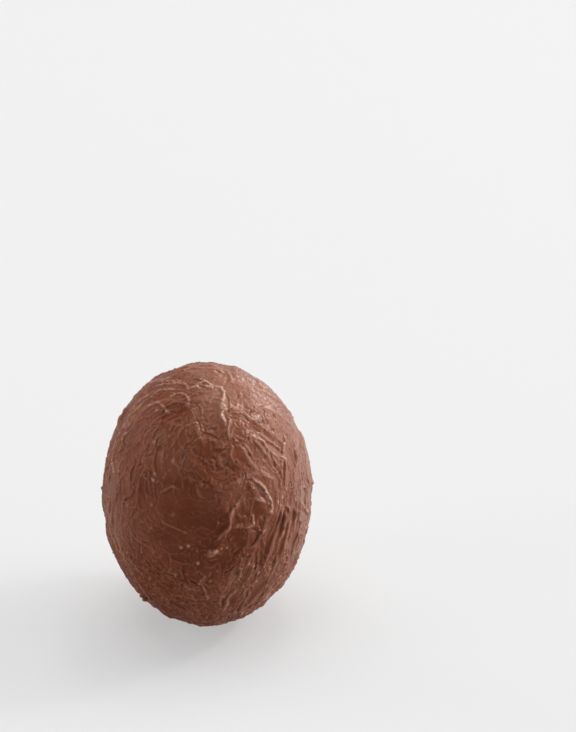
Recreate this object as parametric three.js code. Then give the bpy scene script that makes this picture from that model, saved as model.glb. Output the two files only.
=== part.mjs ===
// Hot chocolate sphere: one piece of milk chocolate, drawn out upright into an ovoid and smeared by hand.
// Millimetres, +Z up, -Y is the front. The origin is on the plane it stands on, under the middle of its box.

import * as THREE from 'three';

// ---- Driving dimensions, in millimetres ----

const WIDTH = 58; // greatest width, at the waist
const SLENDERNESS = 1.362; // height of the whole ovoid over its width, before the flat spot is cut
const CROWN_FULLNESS = 0.02; // share by which the crown is wider, and the foot narrower, than an ellipse
const REST_RADIUS = 8.5; // flat spot that it stands on
const CELLS = 28; // cells along each edge of the cube that the surface net is blown up from

const HALF_WIDTH = WIDTH / 2;
const HALF_HEIGHT = HALF_WIDTH * SLENDERNESS;
const REST_DEPTH = HALF_HEIGHT * Math.sqrt(1 - (REST_RADIUS / HALF_WIDTH) ** 2); // centre down to the flat

// ---- Hand-worked relief ----

// Slow swells of the rolled surface: sine waves through space, with wavelength and height in millimetres.
const SWELLS = [
  { along: [0.82, 0.31, 0.48], wavelength: 33, height: 0.1, phase: 0.6 },
  { along: [-0.37, 0.88, 0.3], wavelength: 27, height: 0.09, phase: 2.1 },
  { along: [0.25, -0.42, 0.87], wavelength: 23, height: 0.08, phase: 4.4 },
  { along: [0.61, 0.7, -0.37], wavelength: 15, height: 0.05, phase: 1.3 },
  { along: [-0.68, 0.21, 0.7], wavelength: 12, height: 0.05, phase: 3.5 },
];

// Strokes of fingers and a palette knife. bearing is in degrees round the waist from the front, to the
// right; level is in degrees up from the waist; heading is in degrees clockwise from straight up. length,
// width, depth and bow, which is how far the middle of the stroke bends to its right, are in millimetres.
const FRONT_STROKES = [
  { name: 'crown wipe', bearing: -10, level: 82, heading: 92, length: 26, width: 9, depth: 0.3, bow: 1 },
  { name: 'crown side', bearing: -74, level: 62, heading: 25, length: 17, width: 6.5, depth: 0.3, bow: 1.5 },
  { name: 'brow left', bearing: -48, level: 56, heading: 62, length: 16, width: 6.5, depth: 0.35, bow: -2 },
  { name: 'brow right', bearing: 6, level: 60, heading: 170, length: 13, width: 7, depth: 0.35, bow: 1 },
  { name: 'shoulder high', bearing: 54, level: 43, heading: 148, length: 16, width: 5, depth: 0.35, bow: 1 },
  { name: 'shoulder low', bearing: 43, level: 37, heading: 150, length: 14, width: 5, depth: 0.35, bow: 1.5 },
  { name: 'upright score', bearing: 60, level: 26, heading: 212, length: 18, width: 5, depth: 0.3, bow: -1 },
  { name: 'pitted hollow', bearing: 6, level: 40, heading: 140, length: 12, width: 8, depth: 0.35, bow: 0 },
  { name: 'left flank', bearing: -56, level: 30, heading: 172, length: 24, width: 9, depth: 0.25, bow: -1 },
  { name: 'left edge', bearing: -78, level: 12, heading: 160, length: 26, width: 6.5, depth: 0.25, bow: 1 },
  { name: 'left foot', bearing: -58, level: -20, heading: 160, length: 20, width: 8, depth: 0.25, bow: 1 },
  { name: 'palm patch', bearing: -18, level: 15, heading: 115, length: 27, width: 21, depth: 0.45, bow: 0 },
  { name: 'lifted flap', bearing: 26, level: 17, heading: 152, length: 14, width: 9, depth: 0.5, bow: 1.5 },
  { name: 'right slash 1', bearing: 34, level: 0, heading: 206, length: 16, width: 5, depth: 0.4, bow: 0.5 },
  { name: 'right slash 2', bearing: 44, level: -1, heading: 199, length: 18, width: 5, depth: 0.4, bow: 0.5 },
  { name: 'right slash 3', bearing: 55, level: -2, heading: 190, length: 18, width: 5.5, depth: 0.3, bow: 0 },
  { name: 'right edge', bearing: 74, level: 14, heading: 198, length: 24, width: 6.5, depth: 0.3, bow: 0 },
  { name: 'belly hook', bearing: 10, level: 4, heading: 212, length: 17, width: 6.5, depth: 0.4, bow: -2 },
  { name: 'belly sweep', bearing: -8, level: -14, heading: 205, length: 18, width: 7, depth: 0.3, bow: 2 },
  { name: 'foot slash', bearing: 17, level: -20, heading: 196, length: 16, width: 5, depth: 0.4, bow: 0.5 },
  { name: 'foot crevice', bearing: 27, level: -28, heading: 208, length: 14, width: 5, depth: 0.4, bow: 0 },
  { name: 'foot fan', bearing: -2, level: -32, heading: 172, length: 15, width: 6.5, depth: 0.3, bow: -1 },
  { name: 'foot left', bearing: -30, level: -34, heading: 150, length: 16, width: 7, depth: 0.3, bow: 1 },
  { name: 'right foot', bearing: 56, level: -26, heading: 214, length: 15, width: 6, depth: 0.35, bow: 1 },
];

// The rest of the surface is worked over in rows, from the crown down, with strokes that lean one way and
// then the other. A row holds as many strokes as fit round it.
const ROW_LEVELS = [66, 42, 18, -6, -30, -54];
const ROW_SPACING = 13; // between the middles of neighbouring strokes in a row
const FRONT_REACH = 84; // bearing up to which the front strokes stand in for the rows
const ROW_STROKE = {
  length: 19, lengthSpread: 4, width: 7.5, widthSpread: 1.5, depth: 0.3, depthSpread: 0.06,
};
const ROW_LEAN = { heading: 168, swing: 34, turn: 2.4 }; // degrees, degrees, and radians between neighbours
const ROW_SHIFT = { bearing: 6, level: 5, bow: 1.5 }; // how far a stroke strays from its row, and bends
const FOOT_LEVEL = -46; // below this level the rows run right round, under the front too

// How a stroke fades: shares of its half length and half width.
const FADE = { from: 0.72, to: 1.15 };
const RIM = { at: 1.08, spread: 0.24, share: 0.5 }; // raised edge, its height as a share of the depth
const WIPE = 0.7; // share of the older relief that a stroke takes away
const REACH_DOWN = 12; // how far below its own tangent plane a stroke still acts

const radians = THREE.MathUtils.degToRad;

/** Point of the smooth ovoid along a unit direction, measured from its centre. */
function ovoidPoint(direction) {
  const radius = HALF_WIDTH * (1 + CROWN_FULLNESS * direction.z);
  return new THREE.Vector3(direction.x * radius, direction.y * radius, direction.z * HALF_HEIGHT);
}

/** Outward normal of the smooth ovoid along a unit direction. */
function ovoidNormal(direction) {
  return new THREE.Vector3(
    direction.x / HALF_WIDTH,
    direction.y / HALF_WIDTH,
    direction.z / HALF_HEIGHT,
  ).normalize();
}

/** A stroke with the local frame that it is drawn in: middle, outward, forward and to its right. */
function placed(stroke) {
  const bearing = radians(stroke.bearing);
  const level = radians(stroke.level);
  const heading = radians(stroke.heading);
  const direction = new THREE.Vector3(
    Math.cos(level) * Math.sin(bearing),
    -Math.cos(level) * Math.cos(bearing),
    Math.sin(level),
  );
  const outward = ovoidNormal(direction);
  const east = new THREE.Vector3(Math.cos(bearing), Math.sin(bearing), 0);
  const north = new THREE.Vector3().crossVectors(outward, east);
  const forward = north.clone().multiplyScalar(Math.cos(heading)).addScaledVector(east, Math.sin(heading));
  const right = east.clone().multiplyScalar(Math.cos(heading)).addScaledVector(north, -Math.sin(heading));
  return { ...stroke, middle: ovoidPoint(direction), outward, forward, right };
}

/** The strokes of the sides and back, row by row. */
function rowStrokes() {
  const strokes = [];
  for (const level of ROW_LEVELS) {
    const girth = 2 * Math.PI * HALF_WIDTH * Math.cos(radians(level));
    const count = Math.round(girth / ROW_SPACING);
    for (let n = 0; n < count; n += 1) {
      const turn = strokes.length * ROW_LEAN.turn;
      strokes.push({
        bearing: -180 + (360 * (n + 0.5)) / count + ROW_SHIFT.bearing * Math.sin(turn),
        level: level + ROW_SHIFT.level * Math.cos(2 * turn),
        heading: ROW_LEAN.heading + ROW_LEAN.swing * Math.sin(turn),
        length: ROW_STROKE.length + ROW_STROKE.lengthSpread * Math.cos(turn),
        width: ROW_STROKE.width + ROW_STROKE.widthSpread * Math.sin(3 * turn),
        depth: ROW_STROKE.depth + ROW_STROKE.depthSpread * Math.cos(3 * turn),
        bow: ROW_SHIFT.bow * Math.sin(2 * turn),
      });
    }
  }
  return strokes.filter((stroke) => Math.abs(stroke.bearing) > FRONT_REACH || stroke.level < FOOT_LEVEL);
}

/** 1 inside, falling smoothly to 0 past the edge; the share is 1 at the edge. */
function fade(share) {
  return 1 - THREE.MathUtils.smoothstep(Math.abs(share), FADE.from, FADE.to);
}

/** Height of the relief at a point of the smooth ovoid, after all strokes in turn. */
function relief(point, strokes) {
  let height = 0;
  for (const swell of SWELLS) {
    const run = point.x * swell.along[0] + point.y * swell.along[1] + point.z * swell.along[2];
    height += swell.height * Math.sin((2 * Math.PI * run) / swell.wavelength + swell.phase);
  }
  const offset = new THREE.Vector3();
  for (const stroke of strokes) {
    offset.subVectors(point, stroke.middle);
    if (offset.dot(stroke.outward) < -REACH_DOWN) continue;
    const along = (2 * offset.dot(stroke.forward)) / stroke.length;
    const bow = stroke.bow * (1 - along * along);
    const across = (2 * (offset.dot(stroke.right) - bow)) / stroke.width;
    const along01 = fade(along);
    const trough = -stroke.depth * Math.max(0, 1 - across * across);
    const rim = RIM.share * stroke.depth * Math.exp(-(((Math.abs(across) - RIM.at) / RIM.spread) ** 2));
    height += along01 * (trough + rim - WIPE * fade(across) * height);
  }
  return height;
}

/** Closed net of a cube blown up to unit directions: shared corners, faces pointing out. */
function directionNet(cells) {
  const directions = [];
  const faces = [];
  const known = new Map();
  const corner = (lattice) => {
    const key = lattice.join(',');
    if (!known.has(key)) {
      known.set(key, directions.length);
      const [x, y, z] = lattice.map((n) => Math.tan((n / cells - 0.5) * (Math.PI / 2)));
      directions.push(new THREE.Vector3(x, y, z).normalize());
    }
    return known.get(key);
  };
  for (const axis of [0, 1, 2]) {
    for (const layer of [0, cells]) {
      const at = (u, v) => {
        const lattice = [0, 0, 0];
        lattice[axis] = layer;
        lattice[(axis + 1) % 3] = u;
        lattice[(axis + 2) % 3] = v;
        return corner(lattice);
      };
      for (let u = 0; u < cells; u += 1) {
        for (let v = 0; v < cells; v += 1) {
          const ring = [at(u, v), at(u + 1, v), at(u + 1, v + 1), at(u, v + 1)];
          if (layer === 0) ring.reverse();
          const [a, b, c, d] = (u + v) % 2 ? ring : [ring[1], ring[2], ring[3], ring[0]];
          faces.push(a, b, c, a, c, d);
        }
      }
    }
  }
  return { directions, faces };
}

/** The chocolate: ovoid plus relief, cut level at the flat spot and set down on it. */
function chocolateGeometry() {
  const strokes = [...rowStrokes(), ...FRONT_STROKES].map(placed);
  const { directions, faces } = directionNet(CELLS);
  const positions = [];
  for (const direction of directions) {
    const point = ovoidPoint(direction);
    point.addScaledVector(ovoidNormal(direction), relief(point, strokes));
    positions.push(point.x, point.y, Math.max(point.z, -REST_DEPTH) + REST_DEPTH);
  }
  const geometry = new THREE.BufferGeometry();
  geometry.setAttribute('position', new THREE.Float32BufferAttribute(positions, 3));
  geometry.setIndex(faces);
  geometry.computeBoundingBox();
  const middle = geometry.boundingBox.getCenter(new THREE.Vector3());
  geometry.translate(-middle.x, -middle.y, 0);
  geometry.computeVertexNormals();
  return geometry;
}

const milkChocolate = new THREE.MeshStandardMaterial({ color: 0x774e3f, roughness: 0.5, metalness: 0 });

const chocolate = new THREE.Mesh(chocolateGeometry(), milkChocolate);
chocolate.name = 'chocolate';

const hotChocolateSphere = new THREE.Group();
hotChocolateSphere.add(chocolate);

export default hotChocolateSphere;
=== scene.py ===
"""Hot chocolate sphere: the looks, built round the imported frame.

One piece of milk chocolate, an upright ovoid whose skin was smeared by hand while it was soft. The body and
its broad strokes are the solid's own. Wipes, rolls, nicks, lips and beads are worked into a much finer net
here. Relief is worked out in millimetres and put into the mesh in metres.
"""

from __future__ import annotations

import functools
import itertools
import logging
import math
from collections.abc import Iterable
from dataclasses import dataclass, field
from enum import Enum

import bpy
import numpy as np
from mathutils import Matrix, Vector


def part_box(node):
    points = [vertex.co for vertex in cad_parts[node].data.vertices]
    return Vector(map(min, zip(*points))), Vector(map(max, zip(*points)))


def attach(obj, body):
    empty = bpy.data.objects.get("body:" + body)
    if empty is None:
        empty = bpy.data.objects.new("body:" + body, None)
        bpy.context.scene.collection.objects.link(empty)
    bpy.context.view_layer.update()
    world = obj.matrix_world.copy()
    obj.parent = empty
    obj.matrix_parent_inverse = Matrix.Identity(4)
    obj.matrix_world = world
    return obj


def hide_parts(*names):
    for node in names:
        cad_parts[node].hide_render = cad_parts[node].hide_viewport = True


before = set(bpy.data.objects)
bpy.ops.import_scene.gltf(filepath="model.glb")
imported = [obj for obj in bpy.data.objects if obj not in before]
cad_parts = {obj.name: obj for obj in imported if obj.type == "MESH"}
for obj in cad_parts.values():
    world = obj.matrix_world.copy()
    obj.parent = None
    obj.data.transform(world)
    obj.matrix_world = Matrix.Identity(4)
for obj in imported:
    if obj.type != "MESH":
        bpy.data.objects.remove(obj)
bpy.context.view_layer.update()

LOG = logging.getLogger("hot_chocolate_sphere")
MM = 0.001
SCRAMBLERS = np.array([73856093, 19349663, 83492791], dtype=np.uint32)  # large primes, one for each axis
GOLDEN_ANGLE = 137.508  # degrees

Triple = tuple[float, float, float]
Pair = tuple[float, float]
Socket = bpy.types.NodeSocket


# ---- small tools


def smooth_step(value: np.ndarray, low: float, high: float) -> np.ndarray:
    """Cubic step from 0 at low to 1 at high: t * t * (3 - 2 * t), where t is value's place between them."""
    place = np.clip((value - low) / (high - low), 0.0, 1.0)
    return place * place * (3.0 - 2.0 * place)


def bell(value: np.ndarray, spread: float | np.ndarray) -> np.ndarray:
    """Bell round 0: e to the minus square of value over spread."""
    return np.exp(-((value / spread) ** 2))


def lattice_noise(points: np.ndarray, wavelength: float, seed: int) -> np.ndarray:
    """Smooth value noise in space.

    Args:
        points: one point a row, in millimetres.
        wavelength: side of the cubic lattice's cells, in millimetres.
        seed: picks another field.

    Returns:
        A number from -1 to 1 for each point: the scrambled numbers of its cell's eight corners, blended by
        the cubic step along each side.
    """
    cell = points / wavelength + 1000.0
    base = np.floor(cell).astype(np.uint32)
    blend = cell - base
    blend = blend * blend * (3.0 - 2.0 * blend)
    total = np.zeros(len(points))
    for corner in itertools.product((0, 1), repeat=3):
        key = np.bitwise_xor.reduce((base + np.array(corner, dtype=np.uint32)) * SCRAMBLERS, axis=1)
        key = (key ^ np.uint32(seed * 7919 + 17)) * np.uint32(2654435761)
        key = (key ^ (key >> np.uint32(15))) * np.uint32(2246822519)
        value = ((key >> np.uint32(9)) & np.uint32(0xFFFF)) / 32767.5 - 1.0
        total += np.prod(np.where(corner, blend, 1.0 - blend), axis=1) * value
    return total


def direction_at(bearing: np.ndarray | float, level: np.ndarray | float) -> np.ndarray:
    """Unit direction from the centre.

    Args:
        bearing: degrees round the waist from the front, to the right.
        level: degrees up from the waist.

    Returns:
        x is cos(level) sin(bearing), y is -cos(level) cos(bearing) and z is sin(level), on the last axis.
    """
    round_waist, up = np.radians(bearing), np.radians(level)
    flat = np.cos(up)
    return np.stack([flat * np.sin(round_waist), -flat * np.cos(round_waist), np.sin(up)], axis=-1)


def softened(values: np.ndarray, faces: np.ndarray, rounds: int) -> np.ndarray:
    """Smooths one number a corner over a closed net.

    Args:
        values: a number for each corner.
        faces: corner numbers of each cell.
        rounds: how often each corner is drawn halfway to the mean of its neighbours.

    Returns:
        The smoothed numbers.
    """
    start, finish = faces.ravel(), np.roll(faces, -1, axis=1).ravel()
    neighbours = np.bincount(start, minlength=len(values))
    for _ in range(rounds):
        values = 0.5 * values + 0.5 * np.bincount(start, values[finish], len(values)) / neighbours
    return values


# ---- the body


@dataclass(frozen=True)
class Ovoid:
    """The smooth body under the smears, about its own centre, in millimetres."""

    half_width: float
    half_height: float
    crown_fullness: float

    def points(self, directions: np.ndarray) -> np.ndarray:
        """Surface points: an ellipsoid whose radius grows with height by the crown's fullness."""
        up = directions[..., 2:3]
        radius = self.half_width * (1.0 + self.crown_fullness * up)
        return np.concatenate([directions[..., :2] * radius, up * self.half_height], axis=-1)

    def normals(self, directions: np.ndarray) -> np.ndarray:
        """Outward unit normals: each part of the direction divided by its half axis."""
        normal = directions / np.array([self.half_width, self.half_width, self.half_height])
        return normal / np.linalg.norm(normal, axis=-1, keepdims=True)


@dataclass(frozen=True)
class Net:
    """Corners and four-sided cells of a cube blown up to unit directions."""

    cells: int

    def build(self) -> tuple[np.ndarray, np.ndarray]:
        """Works the net out.

        Each side of the cube is a grid of two parameters, u and v, and a direction is the cube point
        (tan u, tan v, 1) for angles from -45 to 45 degrees, turned to its side. Corners that sides share are
        merged by their place on the cube's lattice.

        Returns:
            Unit directions, one a row, and the corner numbers of each cell, wound to face out.
        """
        count = self.cells
        u, v = np.meshgrid(np.arange(count + 1), np.arange(count + 1), indexing="ij")
        number = np.arange((count + 1) ** 2).reshape(count + 1, count + 1)
        ring = np.stack([number[:-1, :-1], number[1:, :-1], number[1:, 1:], number[:-1, 1:]], axis=-1)
        ring = ring.reshape(-1, 4)
        lattices, rings = [], []
        for axis, layer in itertools.product((0, 1, 2), (0, count)):
            lattice = np.empty((u.size, 3), dtype=np.int64)
            lattice[:, axis] = layer
            lattice[:, (axis + 1) % 3] = u.ravel()
            lattice[:, (axis + 2) % 3] = v.ravel()
            lattices.append(lattice)
            rings.append((ring if layer else ring[:, ::-1]) + len(rings) * u.size)
        lattice = np.concatenate(lattices)
        key = (lattice[:, 0] * (count + 1) + lattice[:, 1]) * (count + 1) + lattice[:, 2]
        _, first, shared = np.unique(key, return_index=True, return_inverse=True)
        directions = np.tan((lattice[first] / count - 0.5) * (math.pi / 2.0))
        directions /= np.linalg.norm(directions, axis=1, keepdims=True)
        return directions, shared.reshape(-1)[np.concatenate(rings)]


# ---- marks in the chocolate


@dataclass(frozen=True)
class Section:
    """How a tool leaves the chocolate across its mark."""

    power: float  # of the floor's curve: 2 is a round trough, more is a flatter one
    rim: float  # height of the pushed-up edge, as a share of the depth
    thickness: float  # of that edge, in millimetres
    wipe: float  # share of the finer, older marks that it takes away
    gloss: float  # how smooth it leaves the chocolate, from 0 to 1


class Tool(Enum):
    """What a small mark was made with."""

    FINGER = Section(power=3.0, rim=1.5, thickness=0.3, wipe=0.95, gloss=0.6)
    KNIFE = Section(power=8.0, rim=1.6, thickness=0.25, wipe=1.0, gloss=0.8)
    ROLL = Section(power=2.0, rim=0.2, thickness=0.25, wipe=0.3, gloss=0.95)
    NICK = Section(power=2.0, rim=0.4, thickness=0.25, wipe=0.2, gloss=0.4)


@dataclass(frozen=True)
class Stroke:
    """One broad drag across the soft chocolate, the same as in the solid; sizes in millimetres."""

    bearing: float  # of its middle, in degrees round the waist from the front, to the right
    level: float  # of its middle, in degrees up from the waist
    heading: float  # way that it runs, in degrees clockwise from straight up
    length: float
    width: float
    depth: float
    bow: float = 0.0  # how far its middle bends to its right


@dataclass(frozen=True)
class Scrape(Stroke):
    """A small mark with a round end and a pushed-up edge; below zero depth it is a raised roll."""

    tool: Tool = Tool.FINGER
    tilt: float = 0.0  # how much its floor rises to its right, as a share of the depth
    phase: float = 0.0  # where its edge and its fine lines start, in radians


@dataclass(frozen=True)
class Lip:
    """A thin raised edge of pushed-up chocolate; sizes in millimetres."""

    path: tuple[Pair, ...]  # bearing and level, in degrees, of the few points that it runs through
    width: float = 0.55  # from the crest to where the gentle side is nearly down
    height: float = 0.3
    bite: float = 0.6  # depth of the groove on its left, the steep side, as a share of the height
    beads: float = 2.0  # how many times it swells and thins along its length
    painted_highlight: float = 0.25  # strength of the painted highlight along its crest, from 0 to 1


@dataclass(frozen=True)
class Dab:
    """A round bump, or a pit where the height is negative; sizes in millimetres, places in degrees."""

    bearing: float
    level: float
    radius: float
    height: float
    painted_highlight: float = 0.0  # strength of the painted highlight on it, from 0 to 1


@dataclass(frozen=True)
class Zone:
    """A stretch of the skin where the small marks run alike; places and turns in degrees."""

    bearing: float
    level: float
    reach: float  # over which it fades into its neighbours
    heading: float  # way that the marks run, clockwise from straight up
    stray: float  # how much they differ from that
    relief: float  # how deep they are, as a share of the usual depth
    width: float = 1.0  # how wide they are, as a share of the usual width
    stretch: float = 1.0  # how long they are for their width, as a share of the usual length
    bloom_and_top_light: float = 0.3  # how pale and matt the skin is, from 0 to 1; part of the paleness is painted light on the top


BROAD_FRONT = (
    Stroke(-10, 82, 92, 26, 9, 0.3, 1),
    Stroke(-74, 62, 25, 17, 6.5, 0.3, 1.5),
    Stroke(-48, 56, 62, 16, 6.5, 0.35, -2),
    Stroke(6, 60, 170, 13, 7, 0.35, 1),
    Stroke(54, 43, 148, 16, 5, 0.35, 1),
    Stroke(43, 37, 150, 14, 5, 0.35, 1.5),
    Stroke(60, 26, 212, 18, 5, 0.3, -1),
    Stroke(6, 40, 140, 12, 8, 0.35, 0),
    Stroke(-56, 30, 172, 24, 9, 0.25, -1),
    Stroke(-78, 12, 160, 26, 6.5, 0.25, 1),
    Stroke(-58, -20, 160, 20, 8, 0.25, 1),
    Stroke(-18, 15, 115, 27, 21, 0.45, 0),
    Stroke(26, 17, 152, 14, 9, 0.5, 1.5),
    Stroke(34, 0, 206, 16, 5, 0.4, 0.5),
    Stroke(44, -1, 199, 18, 5, 0.4, 0.5),
    Stroke(55, -2, 190, 18, 5.5, 0.3, 0),
    Stroke(74, 14, 198, 24, 6.5, 0.3, 0),
    Stroke(10, 4, 212, 17, 6.5, 0.4, -2),
    Stroke(-8, -14, 205, 18, 7, 0.3, 2),
    Stroke(17, -20, 196, 16, 5, 0.4, 0.5),
    Stroke(27, -28, 208, 14, 5, 0.4, 0),
    Stroke(-2, -32, 172, 15, 6.5, 0.3, -1),
    Stroke(-30, -34, 150, 16, 7, 0.3, 1),
    Stroke(56, -26, 214, 15, 6, 0.35, 1),
)

ZONES = (
    Zone(0, 88, 14, 90, 15, 0.6, 0.7, 1.7, 0.9),  # crown
    Zone(-80, 66, 15, 30, 12, 1.15, 0.54, 2.2, 0.0),  # arcs at the upper left
    Zone(-48, 64, 13, 62, 20, 1.1, 0.54, 1.6, 0.0),
    Zone(12, 68, 14, 175, 60, 0.85, 0.5, 0.8, 1.0),  # crumpled skin below the crown
    Zone(-15, 48, 14, 175, 25, 0.9, 0.6, 1.2, 0.5),
    Zone(62, 58, 18, 165, 60, 0.7, 0.6, 0.7, 0.8),  # pitted skin, pale from bloom and from painted light
    Zone(50, 38, 11, 148, 12, 0.85, 0.9, 1.5, 0.7),  # slanting ridges
    Zone(8, 40, 13, 160, 60, 1.0, 0.5, 0.8, 0.2),  # lumps in the middle
    Zone(-50, 38, 18, 172, 25, 1.1, 0.81, 1.4, 0.0),
    Zone(-85, 30, 16, 165, 10, 1.35, 0.54, 2.2, 0.2),
    Zone(-18, 10, 15, 118, 25, 0.3, 1.2, 1.5, 0.0),  # wiped smooth
    Zone(-52, 8, 16, 172, 20, 0.8, 0.8, 1.6, 0.4),
    Zone(-80, -4, 14, 162, 10, 1.1, 0.63, 2.2, 0.4),
    Zone(28, 26, 11, 160, 30, 0.5, 0.9, 1.1, 0.3),
    Zone(64, 24, 13, 203, 10, 0.8, 0.7, 2.0, 0.5),  # combed right side
    Zone(84, 20, 13, 192, 10, 0.8, 0.6, 2.2, 0.5),
    Zone(24, 8, 10, 190, 40, 0.55, 0.8, 1.0, 0.0),
    Zone(44, -1, 12, 200, 8, 0.8, 0.8, 2.2, 0.25),  # long troughs
    Zone(74, -8, 13, 192, 12, 1.0, 0.8, 1.7, 0.5),
    Zone(4, -4, 9, 210, 45, 0.9, 0.7, 0.9, 0.0),
    Zone(-32, -12, 15, 135, 35, 1.2, 0.85, 1.2, 0.05),
    Zone(-58, -24, 15, 155, 18, 1.4, 0.8, 1.6, 0.25),
    Zone(-6, -22, 12, 190, 55, 1.8, 0.8, 0.9, 0.15),
    Zone(22, -20, 12, 198, 14, 1.9, 1.0, 1.6, 0.6),  # sharp-edged plates
    Zone(50, -28, 15, 212, 18, 1.7, 0.9, 1.5, 0.65),
    Zone(-28, -38, 15, 140, 40, 1.6, 0.85, 1.0, 0.0),
    Zone(8, -40, 14, 185, 35, 1.8, 0.95, 1.2, 0.5),
    Zone(0, -72, 25, 90, 30, 1.6, 0.81, 1.2, 0.2),
)

# the last number of a lip, where given, is the strength of the painted highlight along its crest
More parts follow.
